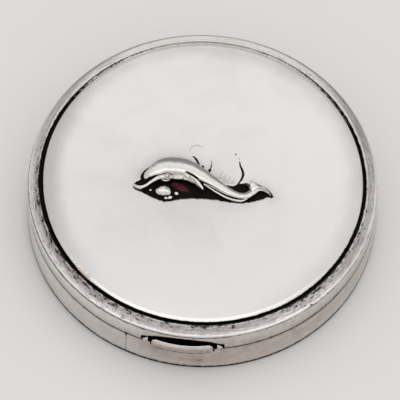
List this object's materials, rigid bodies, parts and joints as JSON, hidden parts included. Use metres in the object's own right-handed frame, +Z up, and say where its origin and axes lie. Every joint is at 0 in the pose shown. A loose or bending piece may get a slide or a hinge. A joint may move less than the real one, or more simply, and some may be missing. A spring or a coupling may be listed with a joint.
{
  "type": "pill box",
  "caption": "Round hinged silver pill box with a domed lid, a dolphin in relief on it, a dark groove round the disc and a press tab at the front.",
  "frame": {"origin": "centre of the flat underside that the box rests on", "axes": "+Z up through the lid; the hinge is on +Y and the press tab on -Y; +X is to the right seen from the tab"},
  "size_m": [0.051, 0.0518, 0.0125],
  "materials": {
    "polished_silver": "polished, worn, with dark tarnish in the recesses",
    "inner_silver": "satin",
    "hinge_silver": "polished, worn"
  },
  "bodies": {
    "base": {"base_wall": "polished_silver", "base_plate": "inner_silver", "base_collar": "inner_silver", "base_knuckle_left": "hinge_silver", "base_knuckle_middle": "hinge_silver", "base_knuckle_right": "hinge_silver", "hinge_pin": "hinge_silver", "catch_cheek_left": "polished_silver", "catch_cheek_right": "polished_silver", "catch_guide_left": "inner_silver", "catch_guide_right": "inner_silver"},
    "catch": {"press_tab": "polished_silver", "catch_strip": "inner_silver", "catch_nose": "inner_silver"},
    "lid": {"lid_band": "polished_silver", "lid_moulding": "polished_silver", "lid_disc": "polished_silver", "lid_knuckle_left": "hinge_silver", "lid_knuckle_right": "hinge_silver", "catch_keeper": "inner_silver", "dolphin_body": "polished_silver", "dolphin_jaw": "polished_silver", "dolphin_fin": "polished_silver", "dolphin_flukes": "polished_silver", "dolphin_eye": "polished_silver", "drop_large": "polished_silver", "drops_small": "polished_silver"}
  },
  "joints": [
    {"name": "lid_hinge", "type": "hinge", "parent": "base", "child": "lid", "pos_m": [0, 0.025, 0.00574], "axis": [-1, 0, 0], "range_deg": [0, 105]},
    {"name": "tab_press", "type": "slide", "parent": "base", "child": "catch", "axis": [0, 1, 0], "range_m": [0, 0.00035], "stiffness_N_per_m": 800, "springref_m": -0.0002}
  ]
}
